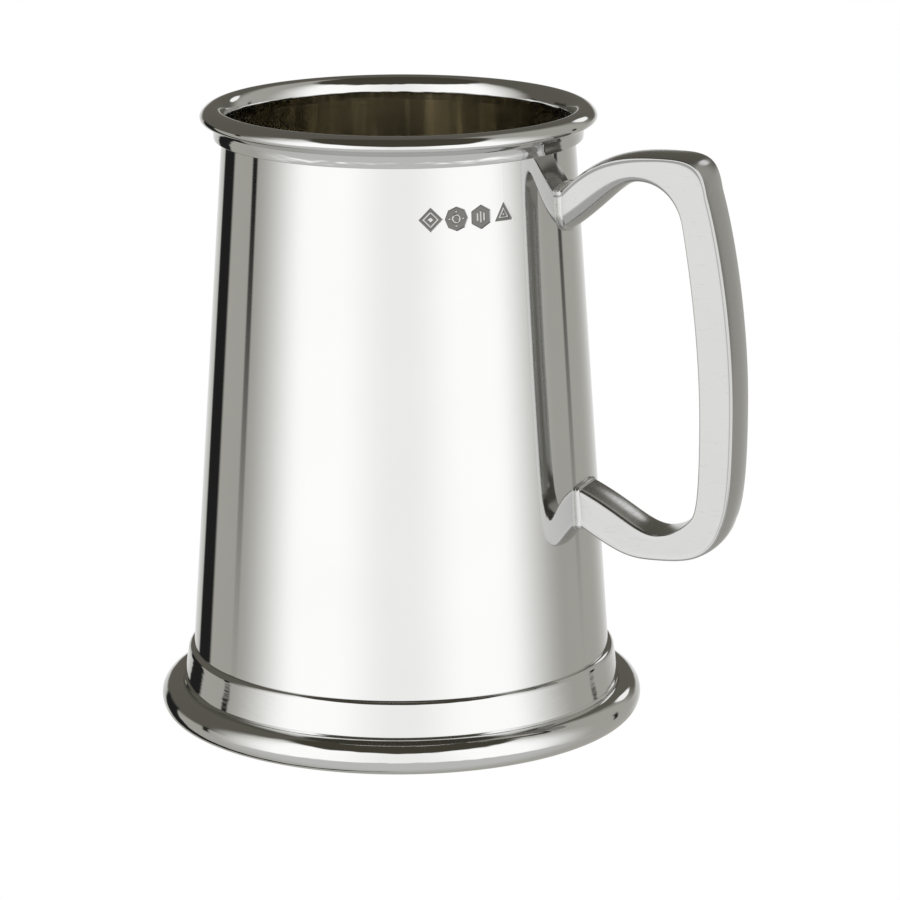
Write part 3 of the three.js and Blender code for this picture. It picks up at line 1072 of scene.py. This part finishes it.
def floor_material():
    """Pale card, seen from above only, so that the underside of the foot can be looked at."""
    material = bpy.data.materials.new("Pale Floor")
    material.use_nodes = True
    tree = material.node_tree
    tree.nodes.clear()
    card = add_node(tree, "ShaderNodeEmission")
    feed(tree, card, "Color", (1, 1, 1, 1))
    feed(tree, card, "Strength", 1.0)
    clear = add_node(tree, "ShaderNodeBsdfTransparent")
    chooser = add_node(tree, "ShaderNodeMixShader")
    feed(tree, chooser, 0, add_node(tree, "ShaderNodeNewGeometry").outputs["Backfacing"])
    feed(tree, chooser, 1, card.outputs[0])
    feed(tree, chooser, 2, clear.outputs[0])
    feed(tree, add_node(tree, "ShaderNodeOutputMaterial"), "Surface", chooser.outputs[0])
    return material


def build_floor(stage):
    bm = bmesh.new()
    bmesh.ops.create_circle(bm, cap_ends=True, segments=96, radius=stage.floor)
    mesh = bpy.data.meshes.new("floor")
    bm.to_mesh(mesh)
    bm.free()
    mesh.materials.append(floor_material())
    floor = bpy.data.objects.new("floor", mesh)
    bpy.context.scene.collection.objects.link(floor)
    floor.visible_glossy = False
    floor.visible_diffuse = False


def build_camera(stage):
    data = bpy.data.cameras.new("Camera")
    data.sensor_width = 36.0
    data.lens = stage.lens
    data.clip_start = 0.01
    camera = bpy.data.objects.new("Camera", data)
    bpy.context.scene.collection.objects.link(camera)
    away = Vector((math.sin(stage.azimuth), -math.cos(stage.azimuth), 0.0))
    place = away * stage.distance + Vector((0.0, 0.0, stage.height))
    look = (
        Matrix.Rotation(stage.azimuth - stage.aim, 4, "Z")
        @ Matrix.Rotation(math.pi / 2 - stage.pitch, 4, "X")
        @ Matrix.Rotation(stage.roll, 4, "Z")
    )
    camera.matrix_world = Matrix.Translation(place) @ look
    bpy.context.scene.camera = camera


class TANKARD_OT_stage(bpy.types.Operator):
    """Sets up the pale floor, the soft studio and the camera"""

    bl_idname = "tankard.stage"
    bl_label = "Stage"

    def execute(self, context):
        stage = context.scene.tankard_stage
        build_studio(stage)
        build_floor(stage)
        build_camera(stage)
        context.scene.view_settings.view_transform = "Standard"
        context.scene.cycles.max_bounces = 20
        context.scene.cycles.glossy_bounces = 18
        return {"FINISHED"}


class TANKARD_PT_panel(bpy.types.Panel):
    """Lists the tankard's sizes and the operators that build it"""

    bl_idname = "TANKARD_PT_panel"
    bl_label = "Tankard"
    bl_space_type = "VIEW_3D"
    bl_region_type = "UI"
    bl_category = "Tankard"

    def draw(self, context):
        layout = self.layout
        for step in STEPS:
            layout.operator(step.bl_idname)
        for name, group in GROUPS.items():
            box = layout.box()
            box.label(text=group.__doc__)
            for label in group.__annotations__:
                box.prop(getattr(context.scene, name), label)


STEPS = (
    TANKARD_OT_drum, TANKARD_OT_rim, TANKARD_OT_foot, TANKARD_OT_base, TANKARD_OT_handle, TANKARD_OT_pads,
    TANKARD_OT_stage,
)


def register():
    for cls in (*GROUPS.values(), *STEPS, TANKARD_PT_panel):
        bpy.utils.register_class(cls)
    for name, group in GROUPS.items():
        setattr(bpy.types.Scene, name, PointerProperty(type=group))


def unregister():
    for name in GROUPS:
        delattr(bpy.types.Scene, name)
    for cls in (TANKARD_PT_panel, *reversed(STEPS), *reversed(GROUPS.values())):
        bpy.utils.unregister_class(cls)


def main():
    register()
    for step in STEPS:
        family, name = step.bl_idname.split(".")
        getattr(getattr(bpy.ops, family), name)()


if __name__ == "__main__":
    main()
